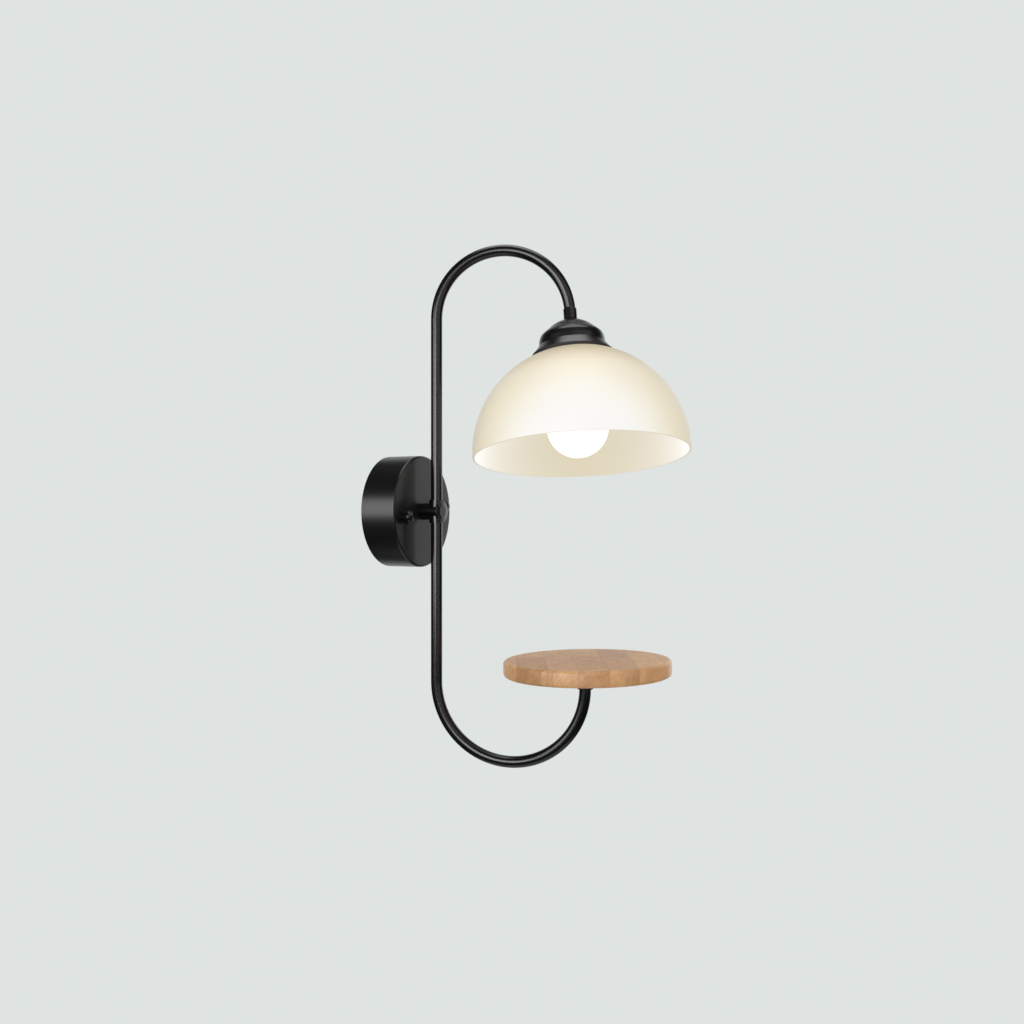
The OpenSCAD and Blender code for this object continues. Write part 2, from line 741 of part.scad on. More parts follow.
module bulb_globe() {
    wall = 1;
    function skin(inset) = concat(
        [[cap_r - 1.2 - inset, -cap_bottom + 3], [cap_r - 1.2 - inset, -cap_bottom - 0.5]],
        [for (i = [0 : 24])
            let (w = globe_neck_angle + (180 - globe_neck_angle) * i / 24)
            [(globe_r - inset) * sin(w), -globe_centre + (globe_r - inset) * cos(w)]]);
    color(lamp_white) in_head() rotate_extrude() polygon(concat(skin(0), reverse(skin(wall))));
}

module bulb_cap() {
    wall = 0.5;
    line = thread_line(cap_r, cap_top + 1.5, cap_turns);
    inner = [for (p = line) [p[0] - wall, p[1]]];
    color(zinc) in_head() rotate_extrude() polygon(concat(
        [[6, -cap_top - 0.2], [cap_r - 1.5, -cap_top - 0.8]], line, [[cap_r + 0.4, -cap_bottom]],
        [[cap_r - 0.4, -cap_bottom]], reverse(inner), [[cap_r - 2, -cap_top - 1.4], [6, -cap_top - 0.9]]));
}

module bulb_insulator() {
    color(rubber_black) in_head() translate([0, 0, -cap_top - 0.2]) difference() {
        cylinder(r1 = 9, r2 = 5, h = insulator_h);
        translate([0, 0, -cut]) cylinder(r = 1.5, h = insulator_h + 2 * cut);
    }
}

module bulb_contact() {
    color(zinc) in_head() translate([0, 0, -lamp_top - contact_h]) {
        cylinder(r1 = 4.6, r2 = 3.2, h = contact_h);
        translate([0, 0, -insulator_h]) cylinder(r = 1.4, h = insulator_h);
    }
}

// ---- Pieces that turn with the lower tube ----

module lower_tube() {
    color(black_coat) in_lower() difference() {
        lower_run(tube_r);
        lower_run(tube_bore_r);
        translate([0, 0, -tube_start - cut]) cylinder(r = tube_bore_r, h = 2 * cut);
        translate([0, -2 * lower_r, shelf_rise - lower_z - cut]) cylinder(r = tube_bore_r, h = 2 * cut);
        dog_slot(-dog_screw_z);
    }
}

module shelf_stud() {
    color(zinc) in_shelf() translate([0, 0, 0.4]) cylinder(r = stud_r, h = shelf_bottom + insert_h - 1);
}

module shelf_collar() {
    color(black_coat) in_shelf() difference() {
        translate([0, 0, shelf_bottom - collar_len]) cylinder(d = collar_d, h = collar_len);
        translate([0, 0, shelf_bottom - collar_len - cut])
            cylinder(r = tube_r + seat_gap, h = shelf_rise - shelf_bottom + collar_len + cut + seat_gap);
        cylinder(r = stud_r + seat_gap, h = shelf_bottom + cut);
    }
}

module shelf_insert() {
    color(brass) in_shelf() ring(insert_r, stud_r + seat_gap, shelf_bottom, shelf_bottom + insert_h);
}

module shelf_board() {
    r = shelf_d / 2;
    color(beech) in_shelf() difference() {
        translate([0, -shelf_shift, shelf_bottom]) rotate_extrude($fn = 144) hull() {
            square([r - shelf_edge_r, shelf_t]);
            for (z = [shelf_edge_r, shelf_t - shelf_edge_r])
                translate([r - shelf_edge_r, z]) circle(r = shelf_edge_r, $fn = 32);
        }
        translate([0, 0, shelf_bottom - cut]) cylinder(r = insert_r + seat_gap, h = insert_h + seat_gap + cut);
    }
}

canopy();
mounting_bar();
bar_studs();
cap_nuts();
earth_screw();
terminal_block();
terminal_screws();
canopy_leads();
tee();
tee_nipple();
tee_washer();
tee_nut();
swivel_screws();
upper_tube();
arm_leads();
head_sleeve();
holder_nipple();
holder_cup();
cup_washer();
cup_nut();
holder_cap();
holder_body();
holder_terminals();
thread_shell();
centre_contact();
shade_gasket();
glass_shade();
shade_ring();
bulb_globe();
bulb_cap();
bulb_insulator();
bulb_contact();
lower_tube();
shelf_stud();
shelf_collar();
shelf_insert();
shelf_board();
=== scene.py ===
"""Looks of the wall lamp with shelf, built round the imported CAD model.

The wall is the plane Y = 0, the room lies towards -Y, and all lengths are in metres.
"""
import json
import math

import bmesh
import bpy
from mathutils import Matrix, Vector


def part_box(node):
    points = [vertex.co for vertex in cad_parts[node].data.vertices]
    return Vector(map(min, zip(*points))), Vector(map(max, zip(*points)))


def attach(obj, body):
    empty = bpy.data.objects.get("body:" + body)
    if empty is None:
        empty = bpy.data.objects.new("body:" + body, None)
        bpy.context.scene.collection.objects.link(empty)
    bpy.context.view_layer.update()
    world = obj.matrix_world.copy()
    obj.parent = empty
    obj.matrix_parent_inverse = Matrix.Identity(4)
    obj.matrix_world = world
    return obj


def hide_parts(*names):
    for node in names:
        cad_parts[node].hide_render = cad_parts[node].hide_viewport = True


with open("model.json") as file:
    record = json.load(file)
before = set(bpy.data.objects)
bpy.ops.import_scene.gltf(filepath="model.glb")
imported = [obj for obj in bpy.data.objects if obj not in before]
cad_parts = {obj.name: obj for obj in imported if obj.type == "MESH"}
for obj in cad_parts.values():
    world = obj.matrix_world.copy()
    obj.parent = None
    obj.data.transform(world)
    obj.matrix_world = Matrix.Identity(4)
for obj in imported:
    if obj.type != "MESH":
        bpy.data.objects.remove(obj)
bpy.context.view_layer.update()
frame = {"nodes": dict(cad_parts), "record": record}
nodes = frame["nodes"]

# ---- Camera and studio ----
# A long look from the left of the lamp, level with the middle of the canopy. The pale
# backdrop is the world itself, and a small floor far below catches the lamp's shadow. In
# reflections the backdrop is bright only round the fixed direction CAMERA_LOOK, as a sheet of
# paper behind the lamp is, and the rest of the room is dim.

CAMERA_PLACE = Vector((-0.7886, -0.4951, -0.0005))
CAMERA_LOOK = Vector((0.9042, 0.4270, 0.0))
bpy.ops.object.camera_add(location=CAMERA_PLACE)
camera = bpy.context.object
camera.rotation_mode = "QUATERNION"
camera.rotation_quaternion = CAMERA_LOOK.to_track_quat("-Z", "Y")
camera.data.sensor_width = 36
camera.data.lens = 35.156
camera.data.clip_start = 0.01
bpy.context.scene.camera = camera
bpy.context.scene.view_settings.view_transform = "Standard"


def linear(hex_colour):
    """Turns an sRGB hex colour into the linear values that shader sockets take."""
    parts = [int(hex_colour[i : i + 2], 16) / 255 for i in (1, 3, 5)]
    return [p / 12.92 if p <= 0.04045 else ((p + 0.055) / 1.055) ** 2.4 for p in parts] + [1.0]


def add_node(tree, kind, inputs=None, **settings):
    """Adds a node, makes its settings, and sets or links its inputs by name or number."""
    node = tree.nodes.new(kind)
    for name, value in settings.items():
        setattr(node, name, value)
    for key, value in (inputs or {}).items():
        if isinstance(value, bpy.types.NodeSocket):
            tree.links.new(value, node.inputs[key])
        else:
            node.inputs[key].default_value = value
    return node


BACKDROP = "#dfe4e2"
PAPER_EDGE, PAPER_FULL, DIM_ROOM = 0.62, 0.85, 0.03
world = bpy.data.worlds.new("studio")
bpy.context.scene.world = world
world.use_nodes = True
tree = world.node_tree
tree.nodes.clear()
path = add_node(tree, "ShaderNodeLightPath")
way = add_node(tree, "ShaderNodeTexCoord")
beyond = add_node(tree, "ShaderNodeVectorMath", {0: way.outputs["Generated"], 1: CAMERA_LOOK},
                  operation="DOT_PRODUCT")
paper = add_node(tree, "ShaderNodeMapRange",
                 {0: beyond.outputs["Value"], 1: PAPER_EDGE, 2: PAPER_FULL, 3: DIM_ROOM, 4: 1.0},
                 interpolation_type="SMOOTHSTEP")
level = add_node(tree, "ShaderNodeMath", {0: paper.outputs[0], 1: path.outputs["Is Camera Ray"]},
                 operation="MAXIMUM")
seen = add_node(tree, "ShaderNodeMath",
                {0: path.outputs["Is Camera Ray"], 1: path.outputs["Is Glossy Ray"]}, operation="MAXIMUM")
seen = add_node(tree, "ShaderNodeMath",
                {0: seen.outputs[0], 1: path.outputs["Is Transmission Ray"]}, operation="MAXIMUM")
room = add_node(tree, "ShaderNodeBackground", {"Color": linear("#ffffff"), "Strength": 0.5})
shown = add_node(tree, "ShaderNodeBackground", {"Color": linear(BACKDROP), "Strength": level.outputs[0]})
mixed = add_node(tree, "ShaderNodeMixShader", {0: seen.outputs[0], 1: room.outputs[0], 2: shown.outputs[0]})
add_node(tree, "ShaderNodeOutputWorld", {"Surface": mixed.outputs[0]})

FLOOR_RADIUS, FLOOR_PLACE = 0.8, (0, -0.15, -1.3)
FADE_FROM, FADE_TO = 0.25, 0.75
bpy.ops.mesh.primitive_circle_add(vertices=96, radius=FLOOR_RADIUS, fill_type="NGON", location=FLOOR_PLACE)
floor = bpy.context.object
floor.name = "studio_floor"
paint = bpy.data.materials.new("matt floor paint")
paint.use_nodes = True
tree = paint.node_tree
tree.nodes.clear()
spot = add_node(tree, "ShaderNodeTexCoord")
reach = add_node(tree, "ShaderNodeVectorMath", {0: spot.outputs["Object"]}, operation="LENGTH")
fade = add_node(tree, "ShaderNodeMapRange",
                {"Value": reach.outputs["Value"], "From Min": FADE_FROM, "From Max": FADE_TO,
                 "To Min": 0.6, "To Max": 0.0},
                interpolation_type="SMOOTHSTEP")
glow = add_node(tree, "ShaderNodeEmission", {"Color": linear(BACKDROP), "Strength": 1.0})
matt = add_node(tree, "ShaderNodeBsdfDiffuse", {"Color": linear(BACKDROP)})
mixed = add_node(tree, "ShaderNodeMixShader", {0: fade.outputs[0], 1: glow.outputs[0], 2: matt.outputs[0]})
add_node(tree, "ShaderNodeOutputMaterial", {"Surface": mixed.outputs[0]})
floor.data.materials.append(paint)

# The left box shows in the gloss alone: it draws the long highlights on the black parts.
LIT_POINT = Vector((0.02, -0.1, 0.0))
for name, place, size, power, lights_matt in [
    ("left_box", (-1.40, -0.09, 0.13), (0.75, 0.70), 13.0, False),
    ("left_back_box", (-1.30, 0.75, 0.17), (0.6, 0.80), 7.0, True),
    ("top_box", (0.10, -0.10, 1.25), (0.9, 0.9), 8.0, True),
    ("right_box", (1.30, -0.40, 0.10), (0.8, 1.2), 2.8, True),
    ("front_fill", (-0.9, -1.6, 0.5), (2.4, 2.0), 12.0, True),
]:
    bpy.ops.object.light_add(type="AREA", location=place)
    softbox = bpy.context.object
    softbox.name = name
    softbox.data.shape = "RECTANGLE"
    softbox.data.size, softbox.data.size_y = size
    softbox.data.energy = power
    softbox.rotation_mode = "QUATERNION"
    softbox.rotation_quaternion = (LIT_POINT - Vector(place)).to_track_quat("-Z", "Y")
    softbox.visible_camera = False
    softbox.visible_diffuse = lights_matt

# ---- Mounting bar and small steel ----
# Pressed steel bar on the wall with the studs, nuts, washers and nipples that hold the lamp
# together. Zinc plating is thin and bright, with a faint mottle from the bath.


def new_material(name):
    """Starts an empty node material."""
    material = bpy.data.materials.new(name)
    material.use_nodes = True
    material.node_tree.nodes.clear()
    return material, material.node_tree


def dress(material, *names):
    """Gives CAD nodes their finished material."""
    for name in names:
        nodes[name].data.materials.clear()
        nodes[name].data.materials.append(material)


zinc, tree = new_material("zinc plated steel")
spot = add_node(tree, "ShaderNodeTexCoord")
bath = add_node(tree, "ShaderNodeTexNoise",
                {"Vector": spot.outputs["Object"], "Scale": 1 / 0.0025, "Detail": 4.0})
tone = add_node(tree, "ShaderNodeMix", {0: bath.outputs[0], 6: linear("#9fa2a6"), 7: linear("#cbccce")},
                data_type="RGBA")
shine = add_node(tree, "ShaderNodeMapRange", {0: bath.outputs[0], 3: 0.24, 4: 0.42})
skin = add_node(tree, "ShaderNodeBsdfPrincipled",
                {"Base Color": tone.outputs[2], "Metallic": 1.0, "Roughness": shine.outputs[0]})
add_node(tree, "ShaderNodeOutputMaterial", {"Surface": skin.outputs[0]})
dress(zinc, "mounting_bar", "bar_studs", "tee_nipple", "tee_washer", "tee_nut", "swivel_screws",
      "holder_nipple", "cup_washer", "cup_nut", "shelf_stud")

# ---- Terminals ----
# Turned and pressed brass: the earth screw, the clamp screws, the holder's contacts and the
# shelf's insert. Turning leaves fine rings, which give the brass a silky shine.

brass, tree = new_material("turned brass")
spot = add_node(tree, "ShaderNodeTexCoord")
rings = add_node(tree, "ShaderNodeTexNoise",
                 {"Vector": spot.outputs["Object"], "Scale": 1 / 0.0006, "Detail": 2.0})
tarnish = add_node(tree, "ShaderNodeTexNoise",
                   {"Vector": spot.outputs["Object"], "Scale": 1 / 0.004, "Detail": 3.0})
tone = add_node(tree, "ShaderNodeMix", {0: tarnish.outputs[0], 6: linear("#b98f4a"), 7: linear("#dcb76c")},
                data_type="RGBA")
shine = add_node(tree, "ShaderNodeMapRange", {0: rings.outputs[0], 3: 0.22, 4: 0.4})
skin = add_node(tree, "ShaderNodeBsdfPrincipled",
                {"Base Color": tone.outputs[2], "Metallic": 1.0, "Roughness": shine.outputs[0]})
add_node(tree, "ShaderNodeOutputMaterial", {"Surface": skin.outputs[0]})
dress(brass, "earth_screw", "terminal_screws", "holder_terminals", "thread_shell", "centre_contact",
      "shelf_insert")

# ---- Thermoset mouldings ----
# The terminal block and the lamp holder are moulded from white heat-proof thermoset: a hard,
# slightly warm white with a low gloss and a very fine mould texture.

thermoset, tree = new_material("white moulded thermoset")
spot = add_node(tree, "ShaderNodeTexCoord")
flow = add_node(tree, "ShaderNodeTexNoise",
                {"Vector": spot.outputs["Object"], "Scale": 1 / 0.008, "Detail": 2.0})
spark = add_node(tree, "ShaderNodeTexNoise",
                 {"Vector": spot.outputs["Object"], "Scale": 1 / 0.0005, "Detail": 1.0})
tone = add_node(tree, "ShaderNodeMix", {0: flow.outputs[0], 6: linear("#e4e1d6"), 7: linear("#efede5")},
                data_type="RGBA")
bump = add_node(tree, "ShaderNodeBump", {"Height": spark.outputs[0], "Strength": 0.5, "Distance": 0.00003})
skin = add_node(tree, "ShaderNodeBsdfPrincipled",
                {"Base Color": tone.outputs[2], "Roughness": 0.38, "Normal": bump.outputs[0]})
add_node(tree, "ShaderNodeOutputMaterial", {"Surface": skin.outputs[0]})
dress(thermoset, "terminal_block", "holder_cap", "holder_body", "shade_ring")

# ---- Wires ----
# Two single cores in the canopy and two in the arm, up to the lamp holder. Soft PVC insulation
# has an even colour and a dull wax-like shine.

ARM_TURN = 18.8

for name, node, colour_left, colour_right in [
    ("brown and blue core insulation", "canopy_leads", "#5a3220", "#2a4f86"),
    ("brown and blue core insulation in the arm", "arm_leads", "#5a3220", "#2a4f86"),
]:
    pvc, tree = new_material(name)
    spot = add_node(tree, "ShaderNodeTexCoord")
    turned = add_node(tree, "ShaderNodeMapping",
                      {"Vector": spot.outputs["Object"],
                       "Rotation": (0, 0, -math.radians(ARM_TURN) if node == "arm_leads" else 0)})
    across = add_node(tree, "ShaderNodeSeparateXYZ", {0: turned.outputs[0]})
    side = add_node(tree, "ShaderNodeMath", {0: across.outputs[0], 1: 0.0}, operation="GREATER_THAN")
    tone = add_node(tree, "ShaderNodeMix",
                    {0: side.outputs[0], 6: linear(colour_left), 7: linear(colour_right)},
                    data_type="RGBA")
    drawn = add_node(tree, "ShaderNodeTexNoise", {"Vector": spot.outputs["Object"], "Scale": 1 / 0.003})
    shine = add_node(tree, "ShaderNodeMapRange", {0: drawn.outputs[0], 3: 0.4, 4: 0.55})
    skin = add_node(tree, "ShaderNodeBsdfPrincipled",
                    {"Base Color": tone.outputs[2], "Roughness": shine.outputs[0]})
    add_node(tree, "ShaderNodeOutputMaterial", {"Surface": skin.outputs[0]})
    dress(pvc, node)

# ---- Canopy ----
# Spun steel bowl that covers the bar. It is powder coated in matt black: a hard skin with a
# faint orange peel of about 1.5 mm and a fine grit that spreads the highlights. The relief
# values are the peel's height in metres.


def powder_coat(name, relief, gloss_from, gloss_to):
    """Black powder coat, with the height of its orange peel and its roughness range."""
    coat, tree = new_material(name)
    spot = add_node(tree, "ShaderNodeTexCoord")
    peel = add_node(tree, "ShaderNodeTexNoise",
                    {"Vector": spot.outputs["Object"], "Scale": 1 / 0.0015, "Detail": 1.0})
    grit = add_node(tree, "ShaderNodeTexNoise",
                    {"Vector": spot.outputs["Object"], "Scale": 1 / 0.00035, "Detail": 1.0})
    height = add_node(tree, "ShaderNodeMath", {0: grit.outputs[0], 1: 0.3, 2: peel.outputs[0]},
                      operation="MULTIPLY_ADD")
    bump = add_node(tree, "ShaderNodeBump",
                    {"Height": height.outputs[0], "Strength": 0.6, "Distance": relief})
    tone = add_node(tree, "ShaderNodeMix", {0: peel.outputs[0], 6: linear("#090909"), 7: linear("#0e0e0e")},
                    data_type="RGBA")
    shine = add_node(tree, "ShaderNodeMapRange", {0: grit.outputs[0], 3: gloss_from, 4: gloss_to})
    skin = add_node(tree, "ShaderNodeBsdfPrincipled",
                    {"Base Color": tone.outputs[2], "Roughness": shine.outputs[0], "Normal": bump.outputs[0]})
    add_node(tree, "ShaderNodeOutputMaterial", {"Surface": skin.outputs[0]})
    return coat


dress(powder_coat("black powder coat on spun steel", 0.00002, 0.27, 0.35), "canopy", "holder_cup")

# ---- Cap nuts, tee, tube and sleeve ----
# Turned and drawn steel parts under the same coat, which lies smoother on them.

dress(powder_coat("black powder coat on turned steel", 0.000008, 0.20, 0.28),
      "cap_nuts", "tee", "upper_tube", "lower_tube", "head_sleeve", "shelf_collar")

# ---- Gasket ----
# Soft rubber edge between the cup and the glass, brownish black, dull and slightly uneven.

rubber, tree = new_material("black rubber")
spot = add_node(tree, "ShaderNodeTexCoord")
bloom = add_node(tree, "ShaderNodeTexNoise",
                 {"Vector": spot.outputs["Object"], "Scale": 1 / 0.002, "Detail": 3.0})
tone = add_node(tree, "ShaderNodeMix", {0: bloom.outputs[0], 6: linear("#1c1512"), 7: linear("#2e2520")},
                data_type="RGBA")
skin = add_node(tree, "ShaderNodeBsdfPrincipled", {"Base Color": tone.outputs[2], "Roughness": 0.7})
add_node(tree, "ShaderNodeOutputMaterial", {"Surface": skin.outputs[0]})
dress(rubber, "shade_gasket", "bulb_insulator")

# ---- Glass shade ----
# Opal glass dome, 190 mm wide and 2.4 mm thick, with a fire-polished rim. It hangs a little
# aslant, perhaps because it sits loosely on its gasket, and bites slightly into the gasket
# here. The lamp's light through the glass is painted on as a glow that follows the eye: near
# white where one looks straight on, and cream where the glass curves away. It therefore shifts
# between views, and a bake loses it. The inside is painted one flat lit cream, and inside and
# out the glow is painted darker towards the neck, as shadow of the holder and cup.

head = next(j for j in frame["record"]["behaviour"]["joints"] if j["name"] == "lamp_turn")
head_place, head_axis = Vector(head["pos_m"]), Vector(head["axis"])
SHADE_RADIUS, SHADE_DOME, SHADE_BAND, SHADE_GLASS = 0.0948, 0.0936, 0.0028, 0.0024
RIM_DEPTH, NECK_RADIUS = 0.1321, 0.0245
SHADE_SLIP = Vector((0.00066, -0.00139, 0.0002))
shade_axis = Vector((0.13042, 0.09768, 0.98664)).normalized()

bpy.ops.object.select_all(action="DESELECT")
bpy.ops.mesh.primitive_uv_sphere_add(segments=160, ring_count=120, radius=SHADE_RADIUS, location=(0, 0, 0))
shade = bpy.context.object
shade.name = "opal_shade"
bpy.ops.object.mode_set(mode="EDIT")
bpy.ops.mesh.select_all(action="SELECT")
bpy.ops.transform.resize(value=(1, 1, SHADE_DOME / SHADE_RADIUS))
bpy.ops.mesh.bisect(plane_co=(0, 0, 0), plane_no=(0, 0, 1), clear_inner=True)
bpy.ops.mesh.select_all(action="SELECT")
neck_height = SHADE_DOME * math.sqrt(1 - (NECK_RADIUS / SHADE_RADIUS) ** 2)
bpy.ops.mesh.bisect(plane_co=(0, 0, neck_height), plane_no=(0, 0, 1), clear_outer=True)
bpy.ops.mesh.select_all(action="DESELECT")
bpy.ops.mesh.select_mode(type="EDGE")
glass = bmesh.from_edit_mesh(shade.data)
for edge in glass.edges:
    if edge.is_boundary and all(v.co.z < 0.001 for v in edge.verts):
        edge.select_set(True)
bmesh.update_edit_mesh(shade.data)
bpy.ops.mesh.extrude_region_move(TRANSFORM_OT_translate={"value": (0, 0, -SHADE_BAND)})
bpy.ops.object.mode_set(mode="OBJECT")
bpy.ops.object.modifier_add(type="SOLIDIFY")
wall = shade.modifiers[-1]
wall.thickness, wall.offset, wall.use_even_offset = SHADE_GLASS, -1, True
wall.material_offset, wall.material_offset_rim = 1, 0
bpy.ops.object.modifier_add(type="BEVEL")
polish = shade.modifiers[-1]
polish.width, polish.segments, polish.limit_method, polish.angle_limit = 0.0009, 3, "ANGLE", math.radians(60)


CUP_SHADOW_FROM, CUP_SHADOW_TO = 0.040, 0.072


def lit_opal(name, body, stops):
    """Opal glass lit from inside, with the colour of its glow from face-on to edge-on."""
    opal, tree = new_material(name)
    spot = add_node(tree, "ShaderNodeTexCoord")
    facing = add_node(tree, "ShaderNodeLayerWeight", {"Blend": 0.5})
    glow = add_node(tree, "ShaderNodeValToRGB", {"Fac": facing.outputs["Facing"]})
    for place, colour in stops:
        stop = glow.color_ramp.elements.new(place)
        stop.color = linear(colour)
    for end in (0, -1):
        glow.color_ramp.elements.remove(glow.color_ramp.elements[end])
    # Painted shadow of the holder and cup: the glow turns darker cream towards the neck.
    down = add_node(tree, "ShaderNodeVectorMath", {0: spot.outputs["Object"], 1: head_place},
                    operation="SUBTRACT")
    down = add_node(tree, "ShaderNodeVectorMath", {0: down.outputs[0], 1: -head_axis},
                    operation="DOT_PRODUCT")
    depth = add_node(tree, "ShaderNodeMapRange",
                     {0: down.outputs["Value"], 1: CUP_SHADOW_FROM, 2: CUP_SHADOW_TO},
                     interpolation_type="SMOOTHSTEP")
    shadow = add_node(tree, "ShaderNodeMix",
                      {0: depth.outputs[0], 6: linear("#d8ccae"), 7: linear("#ffffff")},
                      data_type="RGBA")
    cloud = add_node(tree, "ShaderNodeTexNoise",
                     {"Vector": spot.outputs["Object"], "Scale": 1 / 0.03, "Detail": 2.0})
    drift = add_node(tree, "ShaderNodeMapRange", {0: cloud.outputs[0], 3: 0.98, 4: 1.02})
    tone = add_node(tree, "ShaderNodeVectorMath", {0: glow.outputs[0], 1: shadow.outputs[2]},
                    operation="MULTIPLY")
    skin = add_node(tree, "ShaderNodeBsdfPrincipled",
                    {"Base Color": linear(body), "Roughness": 0.5, "Specular IOR Level": 0.2,
                     "Emission Color": tone.outputs[0], "Emission Strength": drift.outputs[0]})
    add_node(tree, "ShaderNodeOutputMaterial", {"Surface": skin.outputs[0]})
    return opal


shade.data.materials.append(lit_opal("opal glass, lit, outside", "#7a766c", [
    (0.0, "#e5e4e6"), (0.15, "#e3e2e0"), (0.25, "#e0ddd3"), (0.35, "#dbd5c5"), (0.475, "#d5ccb7"),
    (0.625, "#ccc2ab"), (0.775, "#bcb4a2"), (0.93, "#b2ac9c")]))
shade.data.materials.append(lit_opal("opal glass, lit, inside", "#4c4a43", [
    (0.0, "#d6ccb3"), (1.0, "#d6ccb3")]))
for modifier in list(shade.modifiers):
    bpy.ops.object.modifier_apply(modifier=modifier.name)
bpy.ops.object.shade_smooth_by_angle(angle=math.radians(40))
shade.rotation_mode = "QUATERNION"
shade.rotation_quaternion = shade_axis.to_track_quat("Z", "Y")
shade.location = head_place - head_axis * RIM_DEPTH + SHADE_SLIP + shade_axis * SHADE_BAND
bpy.ops.object.transform_apply(location=True, rotation=True, scale=True)
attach(shade, "upper_arm")
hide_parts("glass_shade")

# ---- Lamp ----
# Opal globe lamp with a nickel-plated screw cap. It is lit, so its glass is the brightest
# surface of all.

frosted, tree = new_material("lit opal lamp glass")
spot = add_node(tree, "ShaderNodeTexCoord")
grain = add_node(tree, "ShaderNodeTexNoise", {"Vector": spot.outputs["Object"], "Scale": 1 / 0.01})
power = add_node(tree, "ShaderNodeMapRange", {0: grain.outputs[0], 3: 0.98, 4: 1.04})
skin = add_node(tree, "ShaderNodeBsdfPrincipled",
                {"Base Color": linear("#f4f2ea"), "Roughness": 0.35, "Emission Color": linear("#fffdf8"),
                 "Emission Strength": power.outputs[0]})
add_node(tree, "ShaderNodeOutputMaterial", {"Surface": skin.outputs[0]})
dress(frosted, "bulb_globe")

nickel, tree = new_material("nickel plated brass")
spot = add_node(tree, "ShaderNodeTexCoord")
rolled = add_node(tree, "ShaderNodeTexNoise",
                  {"Vector": spot.outputs["Object"], "Scale": 1 / 0.001, "Detail": 2.0})
tone = add_node(tree, "ShaderNodeMix", {0: rolled.outputs[0], 6: linear("#aaa79e"), 7: linear("#cfccc2")},
                data_type="RGBA")
skin = add_node(tree, "ShaderNodeBsdfPrincipled",
                {"Base Color": tone.outputs[2], "Metallic": 1.0, "Roughness": 0.25})
add_node(tree, "ShaderNodeOutputMaterial", {"Surface": skin.outputs[0]})
dress(nickel, "bulb_cap", "bulb_contact")

# ---- Shelf ----
# Round board, 145 mm across, cut from oiled blocks glued side by side into staves about
# 25 mm wide. It leans back towards the wall by about a degree. It is solid, without the pocket
# that the CAD's board has for the stud and the insert, so those two lie inside the wood.

SHELF_RADIUS, SHELF_THICK, SHELF_EDGE = 0.0726, 0.0137, 0.0030
STAVE_WIDTH, BLOCK_LENGTH, FIRST_JOINT, STAVE_TURN = 0.0245, 0.075, -0.0565, 64.7
YEAR_WIDTH, YEAR_WAVE = 0.0042, 0.014
board_low, board_high = (Vector(c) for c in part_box("shelf_board"))
board_foot = Vector(((board_low.x + board_high.x) / 2, (board_low.y + board_high.y) / 2, board_low.z))
board_axis = Vector((0.0015, 0.0200, 1.0)).normalized()

bpy.ops.object.select_all(action="DESELECT")
bpy.ops.mesh.primitive_cylinder_add(vertices=192, radius=SHELF_RADIUS, depth=SHELF_THICK, location=(0, 0, 0))
board = bpy.context.object
board.name = "stave_board"
bpy.ops.object.mode_set(mode="EDIT")
bpy.ops.mesh.select_mode(type="EDGE")
bpy.ops.mesh.select_all(action="DESELECT")
blank = bmesh.from_edit_mesh(board.data)
for edge in blank.edges:
    if abs(edge.verts[0].co.z - edge.verts[1].co.z) < 1e-5:
        edge.select_set(True)
bmesh.update_edit_mesh(board.data)
bpy.ops.mesh.bevel(offset=SHELF_EDGE, segments=6, profile=0.5)
bpy.ops.object.mode_set(mode="OBJECT")
bpy.ops.object.shade_smooth_by_angle(angle=math.radians(40))
board.rotation_mode = "QUATERNION"
board.rotation_quaternion = board_axis.to_track_quat("Z", "Y")
board.location = board_foot + board_axis * (SHELF_THICK / 2)
bpy.ops.object.transform_apply(location=True, rotation=True, scale=True)

wood, tree = new_material("oiled stave wood")
spot = add_node(tree, "ShaderNodeTexCoord")
laid = add_node(tree, "ShaderNodeMapping",
                {"Vector": spot.outputs["Object"], "Rotation": (0, 0, math.radians(STAVE_TURN))})
axes = add_node(tree, "ShaderNodeSeparateXYZ", {0: laid.outputs[0]})
across = add_node(tree, "ShaderNodeMath", {0: axes.outputs[0], 1: FIRST_JOINT}, operation="SUBTRACT")
count = add_node(tree, "ShaderNodeMath", {0: across.outputs[0], 1: 1 / STAVE_WIDTH}, operation="MULTIPLY")
stave = add_node(tree, "ShaderNodeMath", {0: count.outputs[0]}, operation="FLOOR")
part = add_node(tree, "ShaderNodeMath", {0: count.outputs[0]}, operation="FRACT")
own = add_node(tree, "ShaderNodeTexWhiteNoise", {"W": stave.outputs[0]}, noise_dimensions="1D")
along = add_node(tree, "ShaderNodeMath", {0: axes.outputs[1], 1: 1 / BLOCK_LENGTH, 2: own.outputs["Value"]},
                 operation="MULTIPLY_ADD")
block = add_node(tree, "ShaderNodeMath", {0: along.outputs[0]}, operation="FLOOR")
place = add_node(tree, "ShaderNodeCombineXYZ", {0: stave.outputs[0], 1: block.outputs[0]})
lot = add_node(tree, "ShaderNodeTexWhiteNoise", {"Vector": place.outputs[0]}, noise_dimensions="3D")

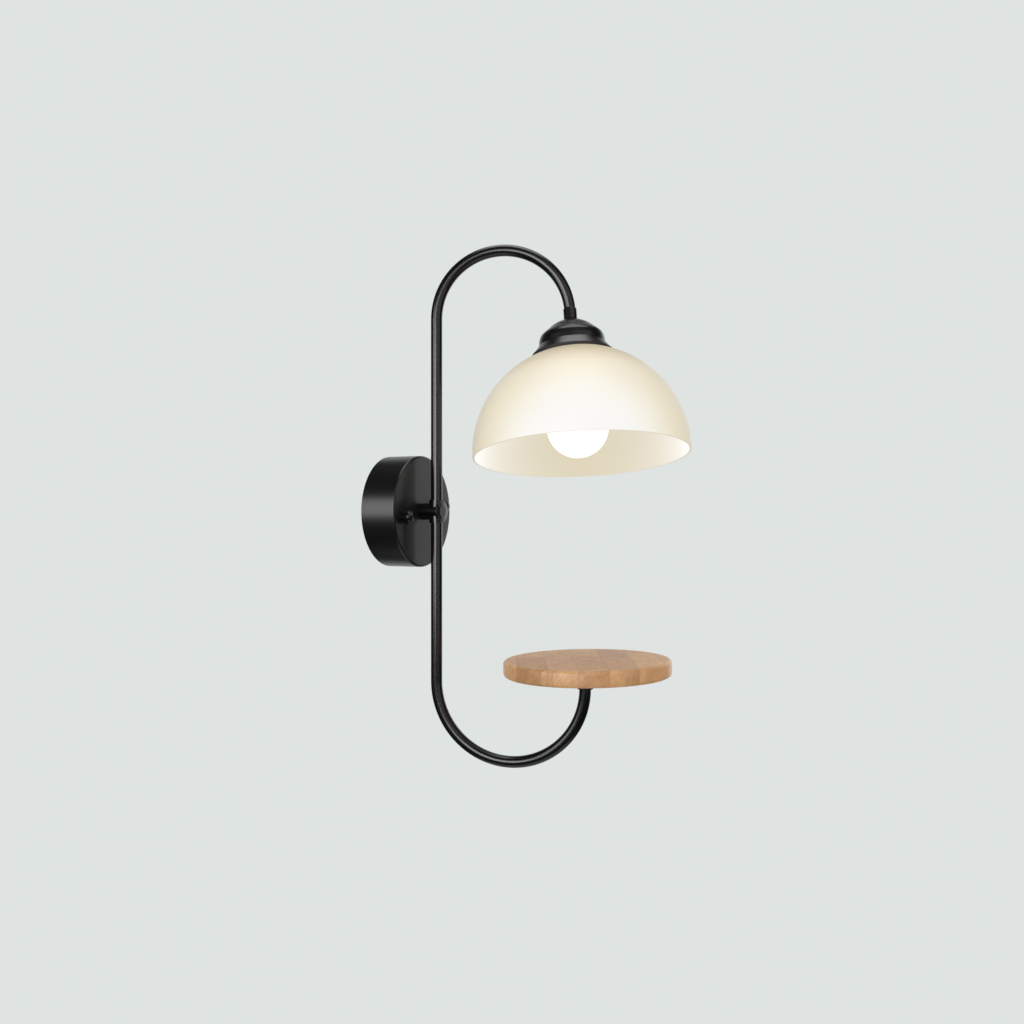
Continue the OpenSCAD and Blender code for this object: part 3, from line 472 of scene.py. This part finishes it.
# The growth rings lie round a pith that differs from block to block; the fibres run along
# the stave, and the oil soaks in unevenly.
picked = add_node(tree, "ShaderNodeVectorMath",
                  {0: lot.outputs["Color"], 1: (0.03, 0.0, 0.05), 2: (-0.015, 0, 0.01)},
                  operation="MULTIPLY_ADD")
pith = add_node(tree, "ShaderNodeVectorMath", {0: laid.outputs[0], 1: picked.outputs[0]}, operation="ADD")
bent = add_node(tree, "ShaderNodeTexNoise", {"Vector": pith.outputs[0], "Scale": 1 / 0.02, "Detail": 2.0})
flat = add_node(tree, "ShaderNodeVectorMath", {0: pith.outputs[0], 1: (1.0, 0.04, 1.0)}, operation="MULTIPLY")
round_pith = add_node(tree, "ShaderNodeVectorMath", {0: flat.outputs[0]}, operation="LENGTH")
wavy = add_node(tree, "ShaderNodeMath", {0: bent.outputs[0], 1: YEAR_WAVE, 2: round_pith.outputs["Value"]},
                operation="MULTIPLY_ADD")
year = add_node(tree, "ShaderNodeMath", {0: wavy.outputs[0], 1: 2 * math.pi / YEAR_WIDTH},
                operation="MULTIPLY")
year = add_node(tree, "ShaderNodeMath", {0: year.outputs[0]}, operation="SINE")
rings = add_node(tree, "ShaderNodeMapRange", {0: year.outputs[0], 1: -1.0, 2: 1.0})
fibre_way = add_node(tree, "ShaderNodeVectorMath", {0: laid.outputs[0], 1: (900.0, 45.0, 900.0)},
                     operation="MULTIPLY")
fibre_way = add_node(tree, "ShaderNodeVectorMath", {0: fibre_way.outputs[0], 1: lot.outputs["Color"]},
                     operation="ADD")
fibres = add_node(tree, "ShaderNodeTexNoise", {"Vector": fibre_way.outputs[0], "Scale": 1.0, "Detail": 4.0,
                                               "Roughness": 0.6})
grain = add_node(tree, "ShaderNodeMix", {0: 0.8, 2: rings.outputs[0], 3: fibres.outputs[0]})
oil = add_node(tree, "ShaderNodeTexNoise", {"Vector": pith.outputs[0], "Scale": 1 / 0.011, "Detail": 3.0})
oil = add_node(tree, "ShaderNodeMapRange", {0: oil.outputs[0], 1: 0.3, 2: 0.7})
grain = add_node(tree, "ShaderNodeMix", {0: 0.4, 2: grain.outputs[0], 3: oil.outputs[0]})
tone = add_node(tree, "ShaderNodeMix", {0: grain.outputs[0], 6: linear("#bd844f"), 7: linear("#efbd89")},
                data_type="RGBA")
lot_tone = add_node(tree, "ShaderNodeMix",
                    {0: lot.outputs["Value"], 6: linear("#e0dad6"), 7: linear("#ffffff")},
                    data_type="RGBA")
tone = add_node(tree, "ShaderNodeVectorMath", {0: tone.outputs[2], 1: lot_tone.outputs[2]},
                operation="MULTIPLY")
seam = add_node(tree, "ShaderNodeMath", {0: part.outputs[0], 1: 0.5}, operation="SUBTRACT")
seam = add_node(tree, "ShaderNodeMath", {0: seam.outputs[0]}, operation="ABSOLUTE")
seam = add_node(tree, "ShaderNodeMapRange", {0: seam.outputs[0], 1: 0.475, 2: 0.495, 3: 1.0, 4: 0.80})
tone = add_node(tree, "ShaderNodeVectorMath", {0: tone.outputs[0], "Scale": seam.outputs[0]},
                operation="SCALE")
bump = add_node(tree, "ShaderNodeBump", {"Height": fibres.outputs[0], "Strength": 0.4, "Distance": 0.0001})
skin = add_node(tree, "ShaderNodeBsdfPrincipled",
                {"Base Color": tone.outputs[0], "Roughness": 0.42, "Normal": bump.outputs[0]})
add_node(tree, "ShaderNodeOutputMaterial", {"Surface": skin.outputs[0]})
board.data.materials.append(wood)
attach(board, "lower_arm")
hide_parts("shelf_board")
